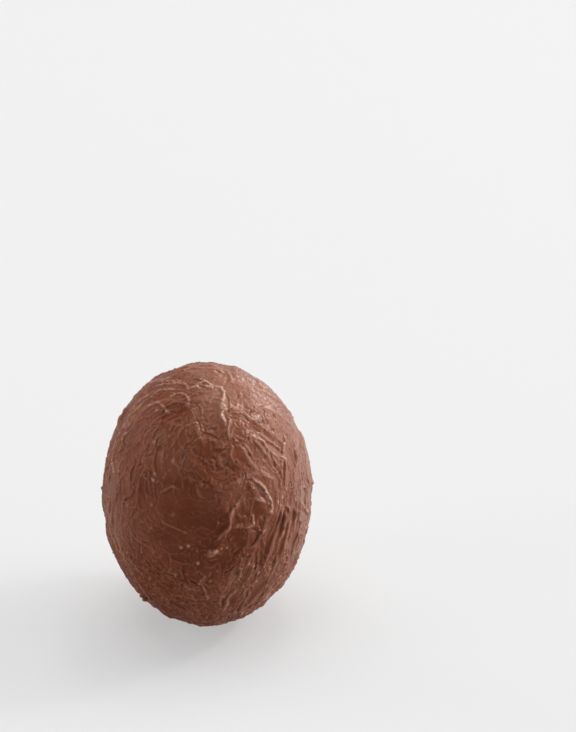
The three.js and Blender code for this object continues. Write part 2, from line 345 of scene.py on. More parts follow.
LIPS = (
    # wavy chain below the crown, and the crown
    Lip(
        ((18, 57), (20, 64), (25, 66), (23, 69), (31, 72), (40, 75), (41, 78), (28, 80)),
        *(0.5, 0.45, 0.7, 8, 1.0),
    ),
    Lip(((28, 80), (8, 84), (-20, 85), (-40, 80)), 0.45, 0.36, 0.5, 7, 0.7),
    Lip(((23, 68), (22, 66), (24, 65), (28, 65)), 0.4, 0.45, 0.5, 1, 1.0),
    Lip(((18, 58), (18, 60), (19, 62)), 0.45, 0.4, 0.7, 1, 1.0),
    Lip(((-45, 78), (-40, 79), (-35, 80)), 0.4, 0.35, 0.5, 1, 0.9),
    Lip(((-34, 80), (-26, 80), (-17, 80)), 0.4, 0.35, 0.5, 1, 0.9),
    Lip(((-3, 82), (10, 82), (22, 80)), 0.45, 0.4, 0.5, 2, 1.0),
    Lip(((35, 68), (35, 66), (40, 64), (49, 65)), 0.5, 0.3, 0.6, 1, 0.6),
    Lip(((-136, 62), (-145, 67), (-155, 73), (179, 73)), 0.5, 0.42, 0.5, 2),
    Lip(((-124, 74), (-145, 75), (178, 80), (120, 78)), 0.5, 0.39, 0.5, 2),
    Lip(((70, 76), (88, 77), (112, 77), (137, 75)), 0.55, 0.34, 0.6, 2),
    Lip(((117, 59), (107, 59), (104, 57), (111, 51)), 0.6, 0.55, 0.8, 3, 0.6),
    # nested arcs at the upper left
    Lip(((-25, 67), (-28, 70), (-38, 72), (-51, 72), (-59, 69), (-62, 66)), 0.45, 0.34, 0.5, 4, 0.4),
    Lip(((-40, 60), (-50, 60), (-59, 61), (-69, 60), (-73, 56), (-74, 53)), 0.45, 0.36, 0.5, 2, 0.4),
    Lip(((-65, 72), (-79, 67), (-87, 62), (-83, 58)), 0.45, 0.39, 0.7, 2, 0.4),
    Lip(((-42, 76), (-61, 77), (-79, 75), (-86, 71), (-95, 66), (-101, 60)), 0.45, 0.42, 0.7, 3, 0.4),
    Lip(((-82, 77), (-90, 72), (-101, 67), (-107, 61)), 0.45, 0.39, 0.7, 2, 0.4),
    Lip(((-102, 71), (-106, 65), (-111, 58), (-120, 47)), 0.5, 0.42, 0.6, 2, 0.4),
    Lip(((-95, 58), (-93, 53), (-92, 48), (-89, 43), (-84, 40)), 0.45, 0.39, 0.7, 2, 0.4),
    Lip(((-85, 54), (-85, 48), (-86, 43)), 0.45, 0.34, 0.6, 1, 0.4),
    Lip(((-87, 40), (-82, 31), (-79, 25)), 0.45, 0.42, 0.7, 2, 0.4),
    Lip(((-73, 40), (-75, 36), (-71, 33)), 0.4, 0.34, 0.6, 1, 0.4),
    Lip(((-78, 24), (-73, 22), (-68, 21)), 0.4, 0.48, 0.6, 2, 0.6),
    # slanting and upright ridges at the upper right
    Lip(((50, 64), (46, 62), (39, 61), (30, 63)), 0.6, 0.26, 1.4, 1),
    Lip(((51, 54), (46, 57), (39, 62)), 0.45, 0.29, 0.7, 2),
    Lip(((61, 35), (56, 40), (50, 45), (46, 48)), 0.6, 0.36, 1.2, 1),
    Lip(((56, 33), (51, 37), (48, 41), (47, 45), (43, 47), (39, 48), (37, 45)), 0.55, 0.38, 1.0, 2),
    Lip(((35, 40), (33, 44), (31, 47)), 0.5, 0.29, 0.8, 1),
    Lip(((17, 51), (20, 55), (24, 59)), 0.45, 0.34, 0.8, 2),
    Lip(((53, 27), (57, 31), (62, 35), (67, 37), (72, 40)), 0.5, 0.38, 1.3, 1),
    Lip(((48, 21), (51, 25), (53, 29)), 0.45, 0.3, 1.4, 1),
    Lip(((68, 23), (72, 28), (77, 34)), 0.5, 0.34, 0.9, 2),
    Lip(((81, 16), (86, 21), (94, 25), (100, 29)), 0.5, 0.3, 0.9, 2),
    # bold curved ridges in the middle
    Lip(((38, 13), (40, 16), (40, 19), (36, 25), (33, 28), (30, 31)), 0.5, 0.5, 0.3, 5, 1.0),
    Lip(((41, 17), (38, 18), (34, 20), (29, 22)), 0.8, 0.32, 0.7, 1, 0.4),
    Lip(((5, 5), (10, 10), (13, 12), (14, 16), (18, 20), (22, 25)), 0.7, 0.38, 0.8, 3),
    Lip(((27, 10), (27, 15)), 0.4, 0.36, 0.5, 1, 1.0),
    Lip(((29, 9), (24, 10), (19, 11), (14, 11)), 0.5, 0.18, 0.5, 1),
    # long troughs at the right
    Lip(((39, -1), (41, 3), (45, 8), (48, 12)), 0.6, 0.5, 1.5, 1),
    Lip(((25, -1), (30, 4), (35, 7)), 0.55, 0.45, 1.3, 1),
    Lip(((45, -2), (47, 2), (49, 6), (51, 10)), 0.55, 0.46, 1.3, 1),
    Lip(((56, -4), (58, 3), (59, 9)), 0.5, 0.42, 1.0, 1),
    Lip(((66, -9), (73, -8), (78, -5), (72, 1), (64, 11)), 0.5, 0.38, 0.9, 3),
    Lip(((88, 13), (87, 9), (86, 6)), 0.5, 0.5, 0.3, 1),
    Lip(((89, -2), (88, -5)), 0.5, 0.4, 0.3, 0),
    # plates and crevices at the lower right
    Lip(((18, -17), (19, -12), (21, -7)), 0.45, 0.34, 0.9, 2),
    Lip(((40, -19), (41, -15), (43, -8)), 0.5, 0.36, 1.3, 1),
    Lip(((10, -37), (12, -31), (14, -26), (19, -21)), 0.6, 0.42, 1.6, 2),
    Lip(((20, -42), (22, -34), (25, -26)), 0.5, 0.34, 1.0, 1),
    Lip(((24, -42), (26, -33), (28, -23)), 0.5, 0.36, 1.3, 1),
    Lip(((13, -42), (22, -40), (32, -40), (41, -36), (52, -33)), 0.55, 0.38, 0.7, 8),
    # foot and lower left
    Lip(((0, -28), (-1, -21), (-4, -15)), 0.5, 0.34, 0.8, 1),
    Lip(((-1, -11), (-3, -13), (-5, -18)), 0.5, 0.34, 0.6, 2),
    Lip(((-6, -20), (-9, -20), (-15, -19)), 0.45, 0.29, 0.6, 2),
    Lip(((-53, -17), (-60, -14), (-67, -9), (-73, -4)), 0.45, 0.28, 0.7, 2),
    Lip(((-47, -16), (-56, -11), (-63, -4)), 0.45, 0.28, 0.7, 2),
    Lip(((-39, -19), (-45, -16), (-51, -11)), 0.45, 0.25, 0.7, 2),
    Lip(((-45, -3), (-47, 3)), 0.4, 0.17, 2.0, 0, 0.1),
    Lip(((-38, -7), (-38, 2)), 0.4, 0.17, 2.0, 0, 0.1),
    Lip(((-53, -37), (-54, -41), (-54, -45)), 0.8, 1, 0.2, 0),
    # wiped patch and left side
    Lip(((-16, 27), (-22, 28), (-26, 26), (-29, 24)), 0.45, 0.24, 0.5, 1, 0.15),
    Lip(((-1, 25), (-4, 27), (-7, 30)), 0.4, 0.17, 0.6, 1, 0.15),
    Lip(((-9, 8), (-17, 10), (-22, 11), (-27, 13)), 0.4, 0.24, 0.6, 3, 0.1),
    Lip(((-98, 31), (-101, 36), (-104, 41)), 0.6, 0.53, 0.4, 2),
)

PLATES = (
    Scrape(44, 5, 32, 12, 4.2, 0.16, 0, Tool.KNIFE, -0.5),
    Scrape(53, 3, 24, 13, 3.8, 0.16, 0, Tool.KNIFE, -0.5),
    Scrape(69, 7, 16, 8, 3.6, 0.14, 0, Tool.KNIFE, -0.4),
    Scrape(17, -28, 15, 11, 3.6, 0.16, 0, Tool.KNIFE, -0.6),
    Scrape(25, -29, 6, 10, 3.0, 0.16, 0, Tool.KNIFE, -0.6),
    Scrape(33, -27, 5, 13, 4.0, 0.16, 0, Tool.KNIFE, 0.3),
    Scrape(58, -4, 33, 8, 3.0, 0.16, 0, Tool.KNIFE, -0.4),
    Scrape(31, 17, 20, 9, 4.0, 0.1, 0, Tool.KNIFE, 0.2),
    # troughs beside the bold ridge and on the combed side
    Scrape(33, 24, 155, 10, 1.2, 0.12, 0, Tool.FINGER),
    Scrape(54, 26, 24, 8, 1.4, 0.3, 0, Tool.FINGER),
)

# the last number of a dab, where given, is the strength of its painted highlight
DABS = (
    Dab(3, 0, 1.3, 1.3, 0.15),
    Dab(4.5, 1.3, 0.5, 0.5, 0.7),
    Dab(2.2, 1.6, 0.4, 0.3, 0.5),
    Dab(6, -2, 0.6, -0.5),
    Dab(9, 20.5, 1.6, 0.14),
)

# places of beads that carry painted glints
BEADS = (
    (49, 17), (45, 16), (46, 14), (48, 12), (34, 27), (38, 21), (40, 18), (8, 2), (12, 2), (24, -8),
    (27, -10), (34, -12), (31, -20), (21, -38), (39, -38), (32, -44), (18, 21), (48, 44), (58, 33),
    (59, 31), (41, 50), (-5, -5), (-10, 3), (-14, 2), (-18, -12), (-33, 18), (-35, 29), (-35, 32),
    (-69, 21), (-35, 79), (-31, 80), (-48, 86), (-12, 86), (100, 70), (141, 83), (130, 83), (114, 59),
)

NICKS = (
    (57, 20), (59, 17), (33, 12), (51, -11), (-6, 52), (-12, 48), (-8, 45), (-2, 41), (11, 45),
    (15, 45), (6, 42), (8, 39), (9, 37), (14, 38), (17, 36), (33, 40), (44, 37), (55, 52), (61, 46),
    (74, 49), (59, 51), (53, 58), (73, 38), (-19, 59), (6, 56), (31, -10), (-48, 34), (-126, 72),
    (-103, 80),
)


# ---- working the skin


class Skin:
    """The net of surface points with the relief's height on each, worked mark by mark.

    The broad relief and the fine one are kept apart, so that a small mark wipes away older small marks and
    leaves the broad shapes that it follows.
    """

    NEAR_RADIUS = 27.0  # millimetres, less than any real radius, that turn a reach into an angle
    REACH_DOWN = 12.0  # millimetres below its own tangent plane that a mark still acts
    BROAD_WIPE, BROAD_RIM, BROAD_RIM_AT, BROAD_RIM_SPREAD = 0.7, 0.5, 1.08, 0.24
    BROAD_FADE = (0.72, 1.15)  # shares of a broad stroke's half size over which it fades out
    ENTRY, WALL = (-1.1, -0.6), (0.8, 1.05)  # the same for a scrape's start, and for its sides and round end
    FLOOR_LINES = 0.06  # depth of the lines on a scrape's floor, as a share of its own
    FLOOR_WAVES = ((9.0, 1.0), (15.0, 2.0))  # radians a millimetre across, and how often the phase counts
    EDGE_SPREAD = (1.3, 0.8)  # of a scrape's edge on its outer and its inner side, in its thicknesses
    EDGE_BREAKS, EDGE_SIDES, EDGE_END = 0.4, 0.45, 0.6  # how it comes and goes, differs by side, ends higher
    EDGE_WAVES = (3.1, 2.0)  # radians in which it comes and goes, for each half width along and across
    EDGE_TURN = 3.0  # how sharply one side's height passes into the other's
    LIP_STEPS = 24  # points of a lip's spine from one point of its path to the next
    LIP_CUT = 0.6  # millimetres past a lip's ends over which it is cut off
    LIP_TAPER, LINE_TAPER = 0.22, 0.08  # shares of its length over which it rises, and its painted highlight line starts
    LIP_RAMP, LIP_STEEP = 1.5, 0.55  # widths to the foot of its gentle side, and spread of its steep side
    GROOVE, GROOVE_AT, GROOVE_SPREAD = 0.35, 1.35, 0.75  # its depth at full bite; place and spread in widths
    LIP_SWELL, LIP_GLOSS = 0.3, 0.95
    LINE_AT, LINE_SPREAD = 0.05, 0.3  # millimetres from the crest
    LINE_PEAK = 1.3  # strength in its middle before it is cut off at 1, which makes the middle even
    LINE_MEAN, LINE_WAVER, LINE_LEAST = 0.7, 0.5, 0.25  # of its strength along it
    COMB_RUN, COMB_STEPS = 1.8, 9  # millimetres ahead and back that the lines' noise is averaged over
    COMB_WAVE, COMB_SPREAD, COMB_RISE = 1.0, 0.3, 0.07  # the rise is in millimetres
    COMB_STRAY = (12.0, 45.0)  # degrees of stray over which lines give way to the crumpled net
    NET_WAVES, NET_SPREAD, NET_RISE = (2.6, 1.7, 1.2), 0.2, 0.024  # the rise is for each millimetre of wave
    PATCH_WAVE, PATCH_MEAN, PATCH_WAVER = 4.0, 0.6, 1.4  # of the grain's strength
    FIRST_GLOSS, BUMP_GLOSS, PIT_GLOSS = 0.4, 0.9, 0.0

    def __init__(self, ovoid: Ovoid, directions: np.ndarray) -> None:
        """Lays out the untouched skin.

        Args:
            ovoid: smooth body.
            directions: unit directions of the net's corners.
        """
        self.ovoid = ovoid
        self.directions = directions
        self.points = ovoid.points(directions)
        self.sites = self.points.copy()
        self.normals = ovoid.normals(directions)
        # the last of these holds the painted highlights along lip crests and on beads
        self.broad, self.fine, self.painted_highlight_mask = np.zeros((3, len(directions)))
        self.gloss = np.full(len(directions), self.FIRST_GLOSS)

    def near(self, direction: np.ndarray, reach: float) -> np.ndarray:
        """Numbers of the corners within about reach millimetres of a direction."""
        return np.nonzero(self.directions @ direction > math.cos(min(reach / self.NEAR_RADIUS, math.pi)))[0]

    def laid_out(self, stroke: Stroke) -> tuple[np.ndarray, np.ndarray, np.ndarray]:
        """Places the near corners along and beside a stroke.

        The stroke runs forward, which is north turned towards east by its heading, on the plane that touches
        the ovoid at its middle.

        Args:
            stroke: the stroke.

        Returns:
            The corners' numbers, their share of the half length along the stroke, from -1 at the start to 1
            at the finish, and their millimetres to the right of its bowed middle line.
        """
        direction = direction_at(stroke.bearing, stroke.level)
        outward = self.ovoid.normals(direction)
        angle, turn = math.radians(stroke.bearing), math.radians(stroke.heading)
        east = np.array([math.cos(angle), math.sin(angle), 0.0])
        north = np.cross(outward, east)
        forward = north * math.cos(turn) + east * math.sin(turn)
        right = east * math.cos(turn) - north * math.sin(turn)
        at = self.near(direction, 0.6 * stroke.length + stroke.width + 1.0)
        offset = self.sites[at] - self.ovoid.points(direction)
        kept = offset @ outward > -self.REACH_DOWN
        at, offset = at[kept], offset[kept]
        along = 2.0 * (offset @ forward) / stroke.length
        return at, along, offset @ right - stroke.bow * (1.0 - along * along)

    def swell(self, along: Triple, wavelength: float, height: float, phase: float) -> None:
        """Adds a slow wave: height times the sine of the distance along a line through space."""
        run = self.points @ np.array(along)
        self.broad += height * np.sin(2.0 * math.pi * run / wavelength + phase)

    def drag(self, stroke: Stroke) -> None:
        """Draws a broad stroke.

        Across it the section is a trough, -depth times (1 - a squared), with a rounded rim on either side,
        where a is the share of the half width. It fades at both ends, and wipes away most of the older
        relief under it.

        Args:
            stroke: what to draw.
        """
        at, along, side = self.laid_out(stroke)
        across = np.abs(2.0 * side / stroke.width)
        ends = 1.0 - smooth_step(np.abs(along), *self.BROAD_FADE)
        inside = 1.0 - smooth_step(across, *self.BROAD_FADE)
        rim = bell(across - self.BROAD_RIM_AT, self.BROAD_RIM_SPREAD)
        rise = stroke.depth * (self.BROAD_RIM * rim - np.clip(1.0 - across**2, 0.0, None))
        self.broad[at] += ends * (rise - self.BROAD_WIPE * inside * self.broad[at])

    def scrape(self, mark: Scrape) -> None:
        """Draws a small mark.

        It comes in gradually and ends in a half circle. Inside, its floor is -depth times (1 - r to the
        power), where r is the share of the half width from the middle line, or from the end's centre, and it
        rises to one side and carries fine lines along it. Around it runs an edge of an even thickness, which
        comes and goes along it, is high on the side where the floor is low, and highest at the end.

        Args:
            mark: what to draw.
        """
        section = mark.tool.value
        at, along, side = self.laid_out(mark)
        half = mark.width / 2.0
        across = side / half
        past_end = np.clip((along * mark.length / 2.0 - mark.length / 2.0 + half) / half, 0.0, None)
        out = np.hypot(across, past_end)
        start = smooth_step(along, *self.ENTRY)
        inside = 1.0 - smooth_step(out, *self.WALL)
        lines = sum(np.sin(side * wave + turns * mark.phase) for wave, turns in self.FLOOR_WAVES)
        floor = mark.tilt * np.clip(across, -1.0, 1.0) + self.FLOOR_LINES * lines
        hollow = floor * inside - np.clip(1.0 - out**section.power, 0.0, None)
        gap = (out - 1.0) * half / section.thickness
        edge = bell(gap, np.where(gap > 0.0, *self.EDGE_SPREAD))
        wave_along, wave_across = self.EDGE_WAVES
        wave = np.sin(wave_along * along * mark.length / mark.width + wave_across * across + mark.phase)
        broken = 1.0 - self.EDGE_BREAKS + self.EDGE_BREAKS * wave
        lean = np.tanh(self.EDGE_TURN * across * np.sign(mark.tilt))
        sided = 1.0 - self.EDGE_SIDES - self.EDGE_SIDES * lean + self.EDGE_END * np.clip(past_end, 0.0, 1.0)
        rise = mark.depth * (hollow + section.rim * edge * broken * sided)
        self.fine[at] += start * (rise - section.wipe * inside * self.fine[at])
        self.gloss[at] += start * inside * section.wipe * (section.gloss - self.gloss[at])

    def spine(self, path: tuple[Pair, ...]) -> tuple[np.ndarray, np.ndarray, np.ndarray]:
        """Lays a Catmull-Rom curve through the points of a path on the ovoid.

        Args:
            path: bearings and levels.

        Returns:
            Directions of its points, the points, and the unit vectors along it.
        """
        knots = direction_at(*np.array(path, dtype=float).T)
        knots = np.concatenate([2 * knots[:1] - knots[1:2], knots, 2 * knots[-1:] - knots[-2:-1]])
        t = np.linspace(0.0, 1.0, self.LIP_STEPS, endpoint=False)[None, :, None]
        a, b, c, d = (knots[i : len(knots) - 3 + i, None, :] for i in range(4))
        curve = b + 0.5 * t * (c - a + t * (2 * a - 5 * b + 4 * c - d + t * (3 * (b - c) + d - a)))
        curve = curve.reshape(-1, 3)
        curve /= np.linalg.norm(curve, axis=1, keepdims=True)
        points = self.ovoid.points(curve)
        tangent = np.gradient(points, axis=0)
        tangent /= np.linalg.norm(tangent, axis=1, keepdims=True)
        return curve, points, tangent

    def lift(self, lip: Lip) -> None:
        """Raises a lip.

        Across it the height falls off in a straight ramp on the right and in a steep bell on the left, where
        a groove follows it. The ramp is (f + sqrt(f squared + 0.02)) / 2, where f is 1 less the share of the
        ramp's width. The height swells and thins in a sine along it. A painted highlight, a pale line of a
        wavering strength, runs along the crest.

        Args:
            lip: what to raise.
        """
        curve, spine, tangent = self.spine(lip.path)
        right = np.cross(tangent, self.ovoid.normals(curve))
        span = np.linalg.norm(np.diff(spine, axis=0), axis=1).sum()
        at = self.near(curve[len(curve) // 2], 0.75 * span + 6.0 * lip.width)
        closest = np.linalg.norm(self.sites[at, None, :] - spine[None, :, :], axis=2).argmin(axis=1)
        offset = self.sites[at] - spine[closest]
        side = np.einsum("ij,ij->i", offset, right[closest]) / lip.width
        over = np.einsum("ij,ij->i", offset, tangent[closest])
        cut = np.exp(-((np.abs(over) / self.LIP_CUT) ** 4))
        place = closest / (len(spine) - 1.0)
        ends, tips = (
            smooth_step(place, -0.02, taper) * (1.0 - smooth_step(place, 1.0 - taper, 1.02)) * cut
            for taper in (self.LIP_TAPER, self.LINE_TAPER)
        )
        beads = 1.0 + self.LIP_SWELL * np.sin(2.0 * math.pi * lip.beads * place + 6.0 * lip.height)
        fall = 1.0 - side / self.LIP_RAMP
        ramp = 0.5 * (fall + np.sqrt(fall**2 + 0.02))
        crest = np.where(side > 0, ramp, bell(side, self.LIP_STEEP))
        groove = self.GROOVE * lip.bite * bell(side + self.GROOVE_AT, self.GROOVE_SPREAD)
        self.fine[at] += ends * beads * lip.height * (crest - groove)
        self.gloss[at] += 0.8 * ends * crest * (self.LIP_GLOSS - self.gloss[at])
        # painted highlight: a pale line along the crest
        line = self.LINE_PEAK * bell(side * lip.width - self.LINE_AT, self.LINE_SPREAD)
        waver = self.LINE_WAVER * np.sin(12.0 * (lip.beads + 0.5) * place + 9.0 * lip.height)
        line = np.clip(line, 0.0, 1.0)
        varied = np.clip(self.LINE_MEAN + waver, self.LINE_LEAST, 1.0)
        self.painted_highlight_mask[at] = np.maximum(self.painted_highlight_mask[at], lip.painted_highlight * tips * line * varied)

    def streak(self, mix: ZoneMix) -> None:
        """Adds the grain: crumpled where the marks stray, drawn out into lines where they run alike.

        The crumpled grain is a net of thin ridges, where a noise of three sizes crosses zero. The lines are a
        noise averaged along the zones' heading, and both are patchy.

        Args:
            mix: blend of the zones at the net's corners.
        """
        flat = np.hypot(self.normals[:, 0], self.normals[:, 1])[:, None] + 1e-9
        east = np.stack([-self.normals[:, 1], self.normals[:, 0], np.zeros(len(flat))], axis=1) / flat
        north = np.cross(self.normals, east)
        turn = np.radians(mix.heading())[:, None]
        forward = north * np.cos(turn) + east * np.sin(turn)
        steps = np.linspace(-self.COMB_RUN, self.COMB_RUN, self.COMB_STEPS)
        drawn_out = sum(lattice_noise(self.points + step * forward, self.COMB_WAVE, 12) for step in steps)
        lines = bell(drawn_out / math.sqrt(self.COMB_STEPS), self.COMB_SPREAD)
        warped = self.sites + 0.5 * (self.sites - self.points)
        net = sum(wave * bell(lattice_noise(warped, wave, 13), self.NET_SPREAD) for wave in self.NET_WAVES)
        combed = 1.0 - smooth_step(mix.mean("stray"), *self.COMB_STRAY)
        patches = self.PATCH_MEAN + self.PATCH_WAVER * lattice_noise(self.points, self.PATCH_WAVE, 14)
        relief = np.clip(mix.mean("relief"), 0.2, 1.2) * np.clip(patches, 0.0, 1.5)
        self.fine += relief * (self.COMB_RISE * combed * lines + self.NET_RISE * (1.2 - combed) * net)

    def dab(self, dab: Dab) -> None:
        """Adds a round bump or pit: height times a bell of the distance over the radius.

        Args:
            dab: what to add.
        """
        direction = direction_at(dab.bearing, dab.level)
        at = self.near(direction, 3.0 * dab.radius)
        share = bell(np.linalg.norm(self.sites[at] - self.ovoid.points(direction), axis=1), dab.radius)
        gloss = self.BUMP_GLOSS if dab.height > 0.0 else self.PIT_GLOSS
        self.fine[at] += dab.height * share
        self.gloss[at] += share * (gloss - self.gloss[at])
        # painted highlight on the dab
        self.painted_highlight_mask[at] = np.maximum(self.painted_highlight_mask[at], dab.painted_highlight * share)


class ZoneMix:
    """Blend of the zones, those of the front and the same ones mirrored on the back, at some directions.

    A zone's weight is a bell of the angle from its middle over its reach. Headings are averaged as doubled
    angles, because a mark's run has no front end.
    """

    def __init__(self, zones: tuple[Zone, ...], directions: np.ndarray) -> None:
        """Weighs the zones.

        Args:
            zones: zones of the front.
            directions: unit directions, one a row.
        """
        self.zones = zones + zones
        self.sense = np.repeat([1.0, -1.0], len(zones))
        bearing = self.column("bearing")
        middles = direction_at(np.where(self.sense > 0, bearing, 180.0 - bearing), self.column("level"))
        angle = np.degrees(np.arccos(np.clip(directions @ middles.T, -1.0, 1.0)))
        weight = bell(angle, self.column("reach")) + 1e-6
        self.weight = weight / weight.sum(axis=1, keepdims=True)

    def column(self, name: str) -> np.ndarray:
        """One number of every zone."""
        return np.array([getattr(zone, name) for zone in self.zones], dtype=float)

    def mean(self, name: str) -> np.ndarray:
        """Blend of one number of the zones at each direction."""
        return self.weight @ self.column(name)

    def heading(self) -> np.ndarray:
        """Blend of the headings at each direction, in degrees."""
        doubled = np.radians(2.0 * self.sense * self.column("heading"))
        return 0.5 * np.degrees(np.arctan2(self.weight @ np.sin(doubled), self.weight @ np.cos(doubled)))


def scrapes(tools: Iterable[Tool], *columns: np.ndarray) -> list[Scrape]:
    """Small marks from their tools and columns of their other fields, in the order of the class."""
    rows = np.stack(columns, axis=1)
    return [Scrape(*map(float, row[:7]), tool, *map(float, row[7:])) for tool, row in zip(tools, rows)]


@dataclass
class Smearing:
    """How the small marks are strewn over the skin; sizes in millimetres, as the least and the most."""

    seed: int = 7
    wipes: int = 2600
    width: Pair = (1.2, 3.8)
    slimness: Pair = (1.5, 3.2)  # length over width
    depth: Pair = (0.04, 0.12)
    narrowing: float = 1.6  # power that makes narrow wipes more common than wide ones
    muddle: float = 0.8  # how far the wipes are out of their order from wide to narrow
    tilt: float = 0.9  # of the wipes' floors, as a share of their depth
    fingers: float = 0.45  # share of the wipes that a finger made; a knife made the others
    rolls: int = 700
    roll_length: Pair = (1.5, 6.0)
    roll_width: Pair = (0.5, 0.75)
    roll_height: Pair = (0.07, 0.18)
    back_drop: float = 0.22  # how much lower the rolls are at the sides, and twice that at the back
    nicks: int = 700  # before those where the skin hasn't bloomed are left out
    nick_length: Pair = (0.9, 2.6)
    nick_width: Pair = (0.5, 0.8)
    nick_depth: Pair = (0.12, 0.3)
    beads: int = 140
    bead_radius: Pair = (0.25, 0.55)
    bead_rise: Pair = (0.2, 0.5)  # height over radius
    bows: Triple = (0.1, 0.22, 0.2)  # of wipes, rolls and nicks, as shares of their lengths
    shake: Pair = (2.5, 4.0)  # of every place, in degrees of level and of bearing
    zones: tuple[Zone, ...] = ZONES

    def strewn(self, rng: np.random.Generator, count: int) -> tuple[np.ndarray, np.ndarray, ZoneMix]:
        """Even places: a spiral of even steps in height and golden-angle turns, shaken a little.

        Args:
            rng: source of the shaking.
            count: how many places.

        Returns:
            Bearings, levels and the blend of the zones there.
        """
        place = (np.arange(count) + 0.5) / count
        level_shake, bearing_shake = (rng.normal(0.0, size, count) for size in self.shake)
        level = np.degrees(np.arcsin(1.0 - 2.0 * place)) + level_shake
        bearing = np.arange(count) * GOLDEN_ANGLE + bearing_shake
        return bearing, level, ZoneMix(self.zones, direction_at(bearing, level))

    def marks(self, rng: np.random.Generator) -> list[Scrape]:
        """The wipes, roughly from wide to narrow, the rolls, lower towards the back, and nicks in the bloom.

        Args:
            rng: source of the sizes and turns.

        Returns:
            The marks in the order that they are drawn.
        """
        wipe_bow, roll_bow, nick_bow = self.bows
        count = self.wipes
        bearing, level, mix = self.strewn(rng, count)
        least, most = self.width
        width = (least + (most - least) * rng.random(count) ** self.narrowing) * mix.mean("width")
        length = width * rng.uniform(*self.slimness, count) * mix.mean("stretch")
        depth = rng.uniform(*self.depth, count) * mix.mean("relief")
        heading = mix.heading() + mix.mean("stray") * rng.normal(0.0, 1.0, count)
        heading = heading + 180.0 * rng.integers(0, 2, count)
        bow = rng.normal(0.0, wipe_bow, count) * length
        tilt, phase = rng.normal(0.0, self.tilt, count), rng.uniform(0.0, 6.28, count)
        hands = np.array([Tool.FINGER, Tool.KNIFE], dtype=object)
        tools = rng.choice(hands, count, p=[self.fingers, 1.0 - self.fingers])
        order = np.argsort(-(width + rng.normal(0.0, self.muddle, count)))
        columns = (bearing, level, heading, length, width, depth, bow, tilt, phase)
        drawn = scrapes(tools[order], *(column[order] for column in columns))

        count = self.rolls
        bearing, level, mix = self.strewn(rng, count)
        length = rng.uniform(*self.roll_length, count) * mix.mean("stretch")
        width = rng.uniform(*self.roll_width, count)
        height = rng.uniform(*self.roll_height, count) * np.clip(mix.mean("relief"), 0.0, 1.0)
        height *= 1.0 - self.back_drop + self.back_drop * np.cos(np.radians(bearing))
        heading = mix.heading() + mix.mean("stray") * rng.normal(0.0, 1.2, count)
        bow = rng.normal(0.0, roll_bow, count) * length
        phase = np.arange(count)
        columns = (bearing, level, heading, length, width, -height, bow, 0 * phase, phase)
        drawn += scrapes([Tool.ROLL] * count, *columns)

        count = self.nicks
        bearing, level, mix = self.strewn(rng, count)
        length = rng.uniform(*self.nick_length, count)
        width, depth = rng.uniform(*self.nick_width, count), rng.uniform(*self.nick_depth, count)
        heading, bow = rng.uniform(0.0, 360.0, count), rng.normal(0.0, nick_bow, count) * length
        pitted = mix.mean("bloom_and_top_light") > 0.3 + 0.5 * rng.random(count)
        columns = (bearing, level, heading, length, width, depth, bow)
        return drawn + scrapes([Tool.NICK] * count, *(column[pitted] for column in columns))

    def specks(self, rng: np.random.Generator) -> list[Dab]:
        """Small glossy beads all over.

        Args:
            rng: source of the sizes.

        Returns:
            The dabs.
        """
        bearing, level, mix = self.strewn(rng, self.beads)
        radius = rng.uniform(*self.bead_radius, self.beads)
        height = rng.uniform(*self.bead_rise, self.beads) * radius * np.clip(mix.mean("relief"), 0.4, None)
        # each speck carries a weak painted highlight
        return [Dab(*map(float, row), 0.3) for row in np.stack([bearing, level, radius, height], axis=1)]


# ---- finishes


